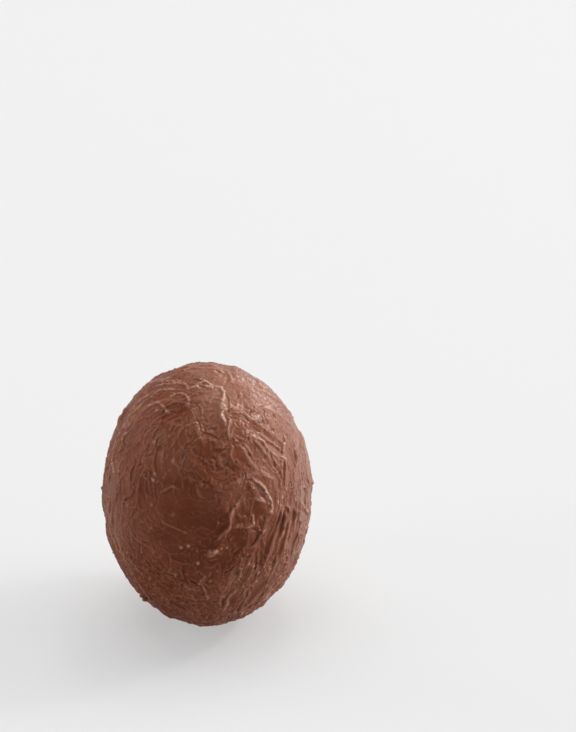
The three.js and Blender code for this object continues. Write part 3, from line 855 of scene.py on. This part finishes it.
class Wiring:
    """Short ways of adding nodes to a material and joining them."""

    def __init__(self, owner: bpy.types.Material | bpy.types.World, shader: str = "Principled BSDF") -> None:
        """Takes the material or world whose nodes are added to, and the name of its shader node."""
        owner.use_nodes = True
        self.nodes = owner.node_tree.nodes
        self.links = owner.node_tree.links
        self.shader = self.nodes[shader]

    def feed(self, node: bpy.types.Node, socket: str | int, value: object) -> None:
        """Joins a socket to an input, or sets the input to a number or numbers.

        Args:
            node: the node.
            socket: its input's name or place.
            value: what goes in.
        """
        if isinstance(value, Socket):
            self.links.new(value, node.inputs[socket])
        else:
            node.inputs[socket].default_value = value

    def node(self, kind: str, feeds: dict[str | int, object], **settings: object) -> bpy.types.Node:
        """Adds a node.

        Args:
            kind: what node it is.
            feeds: sockets or numbers for its inputs, by their name or place.
            settings: its own settings.

        Returns:
            The node.
        """
        made = self.nodes.new(kind)
        for name, value in settings.items():
            setattr(made, name, value)
        for socket, value in feeds.items():
            self.feed(made, socket, value)
        return made

    def coordinates(self, name: str) -> Socket:
        """One of the texture coordinates."""
        return self.node("ShaderNodeTexCoord", {}).outputs[name]

    def parts(self, vector: Socket) -> bpy.types.bpy_prop_collection:
        """X, Y and Z of a vector."""
        return self.node("ShaderNodeSeparateXYZ", {0: vector}).outputs

    def attribute(self, name: str) -> Socket:
        """One of the skin's own numbers."""
        return self.node("ShaderNodeAttribute", {}, attribute_name=name).outputs["Fac"]

    def noise(self, at: Socket, scale: float, detail: float, warp: float = 0.0) -> Socket:
        """Noise at places in metres; scale is waves a metre."""
        feeds = {"Vector": at, "Scale": scale, "Detail": detail, "Distortion": warp}
        return self.node("ShaderNodeTexNoise", feeds).outputs["Fac"]

    def spread(self, source: object, low: float, high: float, to_low: object, to_high: float) -> Socket:
        """Maps low..high of a socket to to_low..to_high, kept within them."""
        feeds = dict(enumerate((source, low, high, to_low, to_high)))
        return self.node("ShaderNodeMapRange", feeds).outputs[0]

    def maths(self, operation: str, *values: object) -> Socket:
        """A sum, product or the like of sockets and numbers."""
        return self.node("ShaderNodeMath", dict(enumerate(values)), operation=operation).outputs[0]

    def times(self, first: Socket, second: Socket | float) -> Socket:
        """Product of a socket and a socket or number."""
        return self.maths("MULTIPLY", first, second)

    def vector_maths(self, operation: str, feeds: dict[str | int, object]) -> Socket:
        """The same for vectors."""
        return self.node("ShaderNodeVectorMath", feeds, operation=operation).outputs[0]

    def total(self, *parts: tuple[Socket, float]) -> Socket:
        """Sum of sockets, each times its share."""
        shares = [part if share == 1.0 else self.times(part, share) for part, share in parts]
        return functools.reduce(functools.partial(self.maths, "ADD"), shares)

    def blend(self, factor: object, first: object, second: object) -> Socket:
        """Mix of two colours, each a socket or three numbers; the factor is kept within 0 and 1."""
        colours = ((*colour, 1.0) if isinstance(colour, tuple) else colour for colour in (first, second))
        feeds = dict(zip((0, 6, 7), (factor, *colours)))
        return self.node("ShaderNodeMix", feeds, data_type="RGBA").outputs[2]

    def threads(self, noise: Socket, width: float) -> Socket:
        """Thin threads where a noise crosses its middle: 1 on them, falling to 0 at width."""
        off_middle = self.maths("ABSOLUTE", self.maths("SUBTRACT", noise, 0.5))
        return self.spread(off_middle, 0.0, width, 1.0, 0.0)


@dataclass(frozen=True)
class MilkChocolate:
    """Satin milk chocolate: brown that pales with bloom, glossy where it was wiped, matt where it wasn't.

    It carries painted shade, darkest in hollows and crevices, and painted highlights, pale along crests,
    threads and lip crests and on beads; its paling with bloom is partly painted light on the top. Its finest
    relief is bump: crinkled threads where the skin is crumpled, and lines where it was combed, which lean
    out from the middle.
    """

    # dark is painted shade for hollows and crevices, and the darker tone of glossy wiped chocolate
    dark: Triple = (0.09, 0.018, 0.005)
    deep: Triple = (0.158, 0.0345, 0.012)
    warm: Triple = (0.198, 0.048, 0.0175)
    pale: Triple = (0.31, 0.125, 0.075)
    # edge is the colour of the painted highlights along lip crests and on beads
    edge: Triple = (0.68, 0.4, 0.3)
    darkens: Triple = (0.32, 0.18, 0.36)  # how much hollows and crevices (painted shade) and gloss draw it to the dark brown
    pales: Triple = (0.6, 0.5, 0.13)  # how much bloom (partly painted light on the top) and the painted highlights on crests and threads draw it to the pale brown
    rough_wiped: float = 0.2
    rough_matt: float = 0.32
    rough_crest: float = 0.1
    specular: float = 0.5
    ior: float = 1.47
    thread_height: float = 0.13 * MM
    line_height: float = 0.05 * MM
    grain_height: float = 0.008 * MM
    mottle_waves: float = 160.0  # of the brown, in waves a metre, like the next six
    break_waves: float = 300.0  # of the stretches where threads come and go
    crinkle_waves: Pair = (260.0, 500.0)  # of the coarse and the fine crinkles
    line_waves: float = 480.0  # of the combed lines
    ripple_waves: float = 700.0  # of the ripples between them
    patch_waves: float = 900.0  # of the roughness
    grain_waves: float = 1500.0
    waist: float = 35.0 * MM
    radius: float = 29.0 * MM
    lean: float = 500.0  # of the combed lines, in radians a metre up and a metre out

    def comb_places(self, wiring: Wiring, at: Socket) -> Socket:
        """Places drawn together up and down, on a cylinder round the piece; noise on them makes lines.

        Args:
            wiring: the material's wiring.
            at: Object coordinates.

        Returns:
            The place's bearing on a circle of the piece's radius, turned by the lean, with an eighth of its
            height.
        """
        parts = wiring.parts(at)
        above = wiring.maths("SUBTRACT", parts["Z"], self.waist)
        turn = wiring.times(wiring.times(above, parts["X"]), -self.lean)
        flat = wiring.vector_maths("MULTIPLY", {0: at, 1: (1.0, 1.0, 0.0)})
        outward = wiring.vector_maths("NORMALIZE", {0: flat})
        circle = wiring.vector_maths("SCALE", {0: outward, "Scale": self.radius})
        feeds = {"Vector": circle, "Angle": turn}
        turned = wiring.node("ShaderNodeVectorRotate", feeds, rotation_type="Z_AXIS")
        height = wiring.vector_maths("MULTIPLY", {0: at, 1: (0.0, 0.0, 0.125)})
        return wiring.vector_maths("ADD", {0: turned.outputs[0], 1: height})

    def threads(self, wiring: Wiring, at: Socket, combed: Socket) -> Socket:
        """Thin crinkled threads where the skin is crumpled, and lines along the marks where it is combed.

        Args:
            wiring: the material's wiring.
            at: Object coordinates.
            combed: places for the lines.

        Returns:
            Their share of the full height, from 0 to about 1.
        """
        broken = wiring.spread(wiring.noise(at, self.break_waves, 1.0), 0.42, 0.58, 0.15, 1.0)
        coarse = wiring.threads(wiring.noise(at, self.crinkle_waves[0], 2.0, 0.8), 0.07)
        fine = wiring.threads(wiring.noise(at, self.crinkle_waves[1], 1.0, 0.6), 0.11)
        crinkles = wiring.times(wiring.total((coarse, 1.0), (fine, 0.6)), wiring.attribute("crumple"))
        lines = wiring.threads(wiring.noise(combed, self.line_waves, 1.0), 0.1)
        lines = wiring.times(lines, wiring.attribute("comb"))
        return wiring.times(wiring.total((crinkles, 1.0), (lines, 1.0)), broken)

    def material(self) -> bpy.types.Material:
        """Builds the node material; its patterns read Object coordinates and the skin's own attributes.

        The bump's height is the threads, the grain and combed waves, in metres.

        Returns:
            The material.
        """
        material = bpy.data.materials.new("milk_chocolate")
        wiring = Wiring(material)
        shader = wiring.shader
        shader.inputs["Specular IOR Level"].default_value = self.specular
        shader.inputs["IOR"].default_value = self.ior
        at = wiring.coordinates("Object")
        combed = self.comb_places(wiring, at)
        threads = self.threads(wiring, at, combed)
        bloom_and_top_light, gloss, comb, crest, hollow, crevice, painted_highlight_mask = map(
            wiring.attribute, ("bloom_and_top_light", "gloss", "comb", "crest", "hollow", "crevice", "painted_highlight_mask")
        )
        mottling = wiring.spread(wiring.noise(at, self.mottle_waves, 4.0), 0.38, 0.62, 0.0, 1.0)
        brown = wiring.blend(mottling, self.deep, self.warm)
        # painted shade: hollows and crevices draw the brown to the dark brown; gloss darkens it too
        brown = wiring.blend(wiring.total(*zip((hollow, gloss, crevice), self.darkens)), brown, self.dark)
        # painted highlights on crests and threads, and bloom that is partly painted light on the top, draw it
        # to the pale brown
        brown = wiring.blend(wiring.total(*zip((bloom_and_top_light, crest, threads), self.pales)), brown, self.pale)
        # painted highlight: lip crests and beads take the highlight colour
        wiring.feed(shader, "Base Color", wiring.blend(painted_highlight_mask, brown, self.edge))
        patches = wiring.spread(wiring.noise(at, self.patch_waves, 3.0), 0.3, 0.7, -0.25, 0.2)
        wiped = wiring.maths("ADD", gloss, patches)
        rough = wiring.spread(wiped, 0.1, 0.95, self.rough_matt, self.rough_wiped)
        shine = wiring.total((crest, 1.0), (threads, 0.3), (painted_highlight_mask, 1.0))
        wiring.feed(shader, "Roughness", wiring.spread(shine, 0.0, 1.0, rough, self.rough_crest))
        ripples = wiring.times(wiring.noise(combed, self.ripple_waves, 1.0), self.line_height)
        waves = wiring.times(ripples, comb)
        grain = wiring.noise(at, self.grain_waves, 3.0)
        height = wiring.total((threads, self.thread_height), (grain, self.grain_height), (waves, 1.0))
        bump = wiring.node("ShaderNodeBump", {"Distance": 1.0, "Height": height})
        wiring.feed(shader, "Normal", bump.outputs["Normal"])
        return material


@dataclass(frozen=True)
class LitSheet:
    """A matt white sheet with a soft light under it."""

    grey: float = 0.36
    glow: float = 0.402
    rough: float = 0.9

    def material(self) -> bpy.types.Material:
        """Builds the material: one grey, and the glow that comes through.

        Returns:
            The material.
        """
        material = bpy.data.materials.new("pale_floor")
        wiring = Wiring(material)
        wiring.feed(wiring.shader, "Base Color", (self.grey, self.grey, self.grey, 1.0))
        wiring.feed(wiring.shader, "Roughness", self.rough)
        wiring.feed(wiring.shader, "Emission Color", (1.0, 1.0, 1.0, 1.0))
        wiring.feed(wiring.shader, "Emission Strength", self.glow)
        return material


def mesh_object(name: str, points: np.ndarray, faces: np.ndarray) -> bpy.types.Object:
    """Puts corners and four-sided faces into a new smooth-shaded mesh object.

    Args:
        name: name of the object and its mesh.
        points: corners in metres, one a row.
        faces: four corner numbers a row.

    Returns:
        The object, linked to the scene, at the origin.
    """
    mesh = bpy.data.meshes.new(name)
    mesh.vertices.add(len(points))
    mesh.vertices.foreach_set("co", points.astype(np.float32).ravel())
    mesh.loops.add(faces.size)
    mesh.loops.foreach_set("vertex_index", faces.astype(np.int32).ravel())
    mesh.polygons.add(len(faces))
    mesh.polygons.foreach_set("loop_start", np.arange(0, faces.size, 4, dtype=np.int32))
    mesh.update(calc_edges=True)
    mesh.validate()
    mesh.shade_smooth()
    made = bpy.data.objects.new(name, mesh)
    bpy.context.scene.collection.objects.link(made)
    return made


# ---- sub-assemblies


@dataclass
class ChocolateSphere:
    """The piece of chocolate: its ovoid, its strokes and its skin; sizes in millimetres."""

    node: str = "chocolate"
    width: float = 58.0
    rest_radius: float = 8.5
    crown_fullness: float = 0.02
    cells: int = 256
    triangles: int = 196_000
    rounds: int = 24  # of smoothing, past which relief counts as standing proud
    crest_height: float = 0.09  # how far proud counts as a full crest
    rows: tuple[int, ...] = (66, 42, 18, -6, -30, -54)  # levels of the rows of broad strokes, in degrees
    row_step: float = 13.0  # from one stroke of a row to the next
    shakes: tuple[Pair, Pair] = ((3.0, 0.5), (1.2, 0.3))  # waves of the places' shaking, and their sizes
    bloom_patches: Pair = (0.25, 5.0)  # how much the bloom varies, and over how many millimetres
    calming: float = 0.75  # how much of the threads a full gloss takes away
    calm_gloss: Pair = (0.5, 0.85)  # glosses over which it does so
    comb_stray: Pair = (12.0, 40.0)  # degrees of stray over which the combed threads fade
    crumple_stray: Pair = (8.0, 35.0)  # and the crinkled ones come
    crevice: Pair = (0.45, 0.6)  # strength of the painted shade in a crevice: the first times its depth, in full crests, less the second
    nick: Triple = (2.2, 0.9, 0.2)  # length, width and depth of a listed nick
    bead: Triple = (0.36, 0.3, 0.75)  # radius and height of a listed bead, and the strength of its painted highlight
    smearing: Smearing = field(default_factory=Smearing)
    swells: tuple[tuple[Triple, float, float, float], ...] = (
        ((0.82, 0.31, 0.48), 33.0, 0.1, 0.6),
        ((-0.37, 0.88, 0.3), 27.0, 0.09, 2.1),
        ((0.25, -0.42, 0.87), 23.0, 0.08, 4.4),
        ((0.61, 0.7, -0.37), 15.0, 0.05, 1.3),
        ((-0.68, 0.21, 0.7), 12.0, 0.05, 3.5),
    )

    def ovoid(self) -> Ovoid:
        """The smooth body, as tall as the solid's box says: half height times (1 + rest depth's share).

        Returns:
            The ovoid.
        """
        low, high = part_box(self.node)
        rest_share = math.sqrt(1.0 - (2.0 * self.rest_radius / self.width) ** 2)
        half_height = (high[2] - low[2]) / MM / (1.0 + rest_share)
        return Ovoid(self.width / 2.0, half_height, self.crown_fullness)

    def row_strokes(self) -> list[Stroke]:
        """The broad strokes of the sides, back and foot, in rows, as in the solid.

        Returns:
            The strokes, without those that would lie on the front.
        """
        strokes: list[Stroke] = []
        for row in self.rows:
            count = round(math.pi * self.width * math.cos(math.radians(row)) / self.row_step)
            for n in range(count):
                turn = len(strokes) * 2.4
                stroke = Stroke(
                    bearing=-180 + 360 * (n + 0.5) / count + 6 * math.sin(turn),
                    level=row + 5 * math.cos(2 * turn),
                    heading=168 + 34 * math.sin(turn),
                    length=19 + 4 * math.cos(turn),
                    width=7.5 + 1.5 * math.sin(3 * turn),
                    depth=0.3 + 0.06 * math.cos(3 * turn),
                    bow=1.5 * math.sin(2 * turn),
                )
                strokes.append(stroke)
        return [stroke for stroke in strokes if abs(stroke.bearing) > 84 or stroke.level < -46]

    def worked_skin(self, ovoid: Ovoid, directions: np.ndarray, mix: ZoneMix) -> Skin:
        """Draws every mark: swells, broad strokes, small marks, grain, plates and placed nicks, lips, dabs.

        The small marks and all that follow them waver, because the places that they are drawn on are shaken
        by noises of two sizes, most where the marks stray.

        Args:
            ovoid: smooth body.
            directions: unit directions of the net.
            mix: blend of the zones there.

        Returns:
            The finished skin.
        """
        rng = np.random.default_rng(self.smearing.seed)
        skin = Skin(ovoid, directions)
        for swell in self.swells:
            skin.swell(*swell)
        for stroke in [*self.row_strokes(), *BROAD_FRONT]:
            skin.drag(stroke)
        shake = sum(
            size * np.stack([lattice_noise(skin.points, wave, 3 * n + axis) for axis in (1, 2, 3)], axis=1)
            for n, (wave, size) in enumerate(self.shakes)
        )
        unrest = np.clip(mix.mean("stray") / 40.0, 0.35, 1.2)[:, None]
        skin.sites = skin.points + unrest * shake
        for mark in self.smearing.marks(rng):
            skin.scrape(mark)
        skin.streak(mix)
        nicks = [Scrape(*place, 70 + 35 * (n % 4), *self.nick, 0, Tool.NICK) for n, place in enumerate(NICKS)]
        for plate in [*PLATES, *nicks]:
            skin.scrape(plate)
        for lip in LIPS:
            skin.lift(lip)
        beads = [Dab(*place, *self.bead) for place in BEADS]
        for dab in [*DABS, *beads, *self.smearing.specks(rng)]:
            skin.dab(dab)
        return skin

    def build(self) -> bpy.types.Object:
        """Builds the chocolate's mesh, thinned where it is smooth, with its own numbers for the finish.

        They are the bloom, whose paleness is partly painted light on the top, the gloss, how combed and how
        crumpled it is, how far it stands proud of the skin round it (crest, which carries painted highlight)
        or lies below (hollow, and crevice in the deepest, which carry painted shade), and the painted
        highlights along lip crests and on beads.

        Returns:
            The piece.
        """
        ovoid = self.ovoid()
        directions, faces = Net(self.cells).build()
        mix = ZoneMix(self.smearing.zones, directions)
        skin = self.worked_skin(ovoid, directions, mix)
        points = skin.points + skin.normals * (skin.broad + skin.fine)[:, None]
        low, high = (np.array(corner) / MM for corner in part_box(self.node))
        rest_depth = ovoid.half_height * math.sqrt(1.0 - (self.rest_radius / ovoid.half_width) ** 2)
        points[:, 2] = np.maximum(points[:, 2], -rest_depth) + rest_depth + low[2]
        points[:, :2] += (low[:2] + high[:2] - points[:, :2].min(axis=0) - points[:, :2].max(axis=0)) / 2.0
        points[:, 2] = np.minimum(points[:, 2], high[2])
        piece = mesh_object("chocolate_skin", points * MM, faces)
        proud = (skin.fine - softened(skin.fine, faces, self.rounds)) / self.crest_height
        patchiness, patch = self.bloom_patches
        # the bloom's paleness is real bloom, and partly painted light on the top
        bloom_and_top_light = mix.mean("bloom_and_top_light") + patchiness * lattice_noise(skin.points, patch, 21)
        calm = 1.0 - self.calming * smooth_step(skin.gloss, *self.calm_gloss)
        slope, start = self.crevice
        stray, relief = mix.mean("stray"), mix.mean("relief")
        numbers = {
            "bloom_and_top_light": bloom_and_top_light,
            "gloss": skin.gloss * (1.0 - 0.5 * np.clip(bloom_and_top_light, 0.0, 1.0)),
            "comb": calm * relief * (1.0 - smooth_step(stray, *self.comb_stray)),
            "crumple": calm * (0.3 + 0.7 * smooth_step(stray, *self.crumple_stray)) * relief**0.7,
            # crest, hollow and crevice also drive the painted highlight and the painted shade of the finish
            "crest": proud,
            "hollow": -proud,
            "crevice": -slope * proud - start,
            # painted highlights along lip crests and on beads
            "painted_highlight_mask": skin.painted_highlight_mask,
        }
        for name, values in numbers.items():
            layer = piece.data.attributes.new(name, "FLOAT", "POINT")
            layer.data.foreach_set("value", np.clip(values, 0.0, 1.0).astype(np.float32))
        self.thin(piece)
        return piece

    def thin(self, piece: bpy.types.Object) -> None:
        """Collapses edges where the skin is smooth, down to the number of triangles, and keeps the result.

        Args:
            piece: what to thin.
        """
        modifier = piece.modifiers.new("thin", "DECIMATE")
        modifier.ratio = self.triangles / (2.0 * len(piece.data.polygons))
        graph = bpy.context.evaluated_depsgraph_get()
        thinned = bpy.data.meshes.new_from_object(piece.evaluated_get(graph))
        piece.modifiers.clear()
        old, piece.data = piece.data, thinned
        bpy.data.meshes.remove(old)
        thinned.name = piece.name

    def dress(self, piece: bpy.types.Object, finish: MilkChocolate) -> None:
        """Gives the chocolate its finish and its place in the frame.

        Args:
            piece: the chocolate.
            finish: what it is dressed in.
        """
        piece.data.materials.clear()
        piece.data.materials.append(finish.material())
        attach(piece, "root")
        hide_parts(self.node)


@dataclass(frozen=True)
class Lamp:
    """A square soft light that faces the piece."""

    name: str
    bearing: float  # degrees round the piece from the front, to the right
    level: float  # degrees up
    away: float  # metres from the piece
    size: float  # metres a side
    glow: float  # light it throws on a white sheet that faces it at the piece, 1 being full white
    mirrored: bool = True  # whether glossy surfaces show it

    def build(self) -> bpy.types.Object:
        """Adds the light; its power is glow times pi squared times the distance squared.

        Returns:
            The lamp.
        """
        data = bpy.data.lights.new(self.name, "AREA")
        data.shape = "SQUARE"
        data.size = self.size
        data.energy = self.glow * (math.pi * self.away) ** 2
        lamp = bpy.data.objects.new(self.name, data)
        lamp.location = Vector(direction_at(self.bearing, self.level)) * self.away
        lamp.rotation_mode = "QUATERNION"
        lamp.rotation_quaternion = (-lamp.location).to_track_quat("-Z", "Y")
        lamp.visible_camera = False
        lamp.visible_glossy = self.mirrored
        bpy.context.scene.collection.objects.link(lamp)
        return lamp


@dataclass
class Studio:
    """Pale floor, soft lights and the camera."""

    elevation: float = 33.2
    distance: float = 2.47
    lens: float = 438.0
    frame_size: Pair = (576.0, 732.0)
    place: Pair = (0.36, 0.6735)  # of the piece's middle, from the left and the top
    floor_size: float = 6.0
    sheet: LitSheet = field(default_factory=LitSheet)
    surround: float = 0.05
    behind: float = 0.35
    left: float = 0.14
    right: float = 1.2
    lamps: tuple[Lamp, ...] = (
        Lamp("key", 112, 40, 2.0, 1.2, 0.28, False),
        Lamp("spark", 110, 35, 2.2, 0.26, 0.18),
        Lamp("glint", -30, 70, 2.0, 0.12, 0.015),
        Lamp("top", -165, 74, 2.0, 1.8, 0.52, False),
        Lamp("ceiling", 150, 66, 2.0, 0.35, 0.055),
        Lamp("wall", 100, 12, 1.6, 0.15, 0.05),
        Lamp("low", 52, 6, 1.6, 0.13, 0.05),
        Lamp("face", 20, 18, 2.0, 0.3, 0.012),
        Lamp("pane", -80, 24, 1.6, 0.12, 0.03),
        Lamp("side", 84, 7, 2.2, 0.5, 0.36, False),
        Lamp("far", 150, 10, 1.8, 0.55, 0.1),
        Lamp("back", -120, 10, 1.9, 1.2, 0.43, False),
        Lamp("left", -75, 14, 1.6, 0.8, 0.2, False),
        Lamp("brow", -25, 66, 2.0, 1.2, 0.03, False),
    )

    def floor(self) -> bpy.types.Object:
        """A flat pale sheet under the piece.

        Returns:
            The floor.
        """
        half = self.floor_size / 2.0
        corners = np.array([[-half, -half, 0], [half, -half, 0], [half, half, 0], [-half, half, 0]])
        floor = mesh_object("floor", corners, np.array([[0, 1, 2, 3]]))
        floor.data.materials.append(self.sheet.material())
        floor.visible_glossy = False
        return floor

    def lights(self) -> None:
        """The lamps, and a dim surround, paler behind the piece, to its right and left, and dimmer below."""
        for lamp in self.lamps:
            lamp.build()
        world = bpy.data.worlds.new("surround")
        wiring = Wiring(world, "Background")
        x, y, z = wiring.parts(wiring.coordinates("Generated"))
        behind = wiring.spread(y, -0.2, 0.8, self.surround, self.surround + self.behind)
        right = wiring.spread(x, 0.0, 1.0, 0.0, self.right)
        right = wiring.times(right, wiring.spread(y, -0.6, 0.6, 0.0, 1.0))
        left = wiring.spread(x, -1.0, -0.4, self.left, 0.0)
        above = wiring.spread(z, -0.95, -0.45, 0.3, 1.0)
        glow = wiring.total((behind, 1.0), (right, 1.0), (left, 1.0))
        wiring.feed(wiring.shader, "Color", (1.0, 1.0, 1.0, 1.0))
        wiring.feed(wiring.shader, "Strength", wiring.times(glow, above))
        bpy.context.scene.world = world

    def camera(self) -> bpy.types.Object:
        """A long-lens camera that looks down at the piece, aimed so that it has its place in the frame.

        The aim is moved sideways and up from the piece's middle by the frame's size there times how far the
        place is from the middle of the frame.

        Returns:
            The scene's camera.
        """
        data = bpy.data.cameras.new("camera")
        data.lens = self.lens
        data.clip_start, data.clip_end = 0.1, 20.0
        low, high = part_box("chocolate")
        middle = (low + high) / 2.0
        elevation = math.radians(self.elevation)
        back = Vector((0.0, -math.cos(elevation), math.sin(elevation)))
        up = Vector((0.0, math.sin(elevation), math.cos(elevation)))
        tall = data.sensor_width / self.lens * self.distance
        wide = tall * self.frame_size[0] / self.frame_size[1]
        aim = middle + Vector((0.5 - self.place[0], 0.0, 0.0)) * wide + up * (self.place[1] - 0.5) * tall
        made = bpy.data.objects.new("camera", data)
        made.location = aim + back * self.distance
        made.rotation_mode = "QUATERNION"
        made.rotation_quaternion = (-back).to_track_quat("-Z", "Y")
        bpy.context.scene.collection.objects.link(made)
        bpy.context.scene.camera = made
        return made

    def build(self) -> None:
        """Sets the whole studio up."""
        self.floor()
        self.lights()
        self.camera()
        bpy.context.scene.view_settings.view_transform = "Standard"


def main() -> None:
    """Builds the piece and the studio."""
    logging.basicConfig(level=logging.INFO, format="%(name)s: %(message)s")
    sphere = ChocolateSphere()
    piece = sphere.build()
    sphere.dress(piece, MilkChocolate())
    LOG.info("chocolate_skin: %d triangles", sum(len(p.vertices) - 2 for p in piece.data.polygons))
    Studio().build()
    LOG.info("studio is set")


if __name__ == "__main__":
    main()
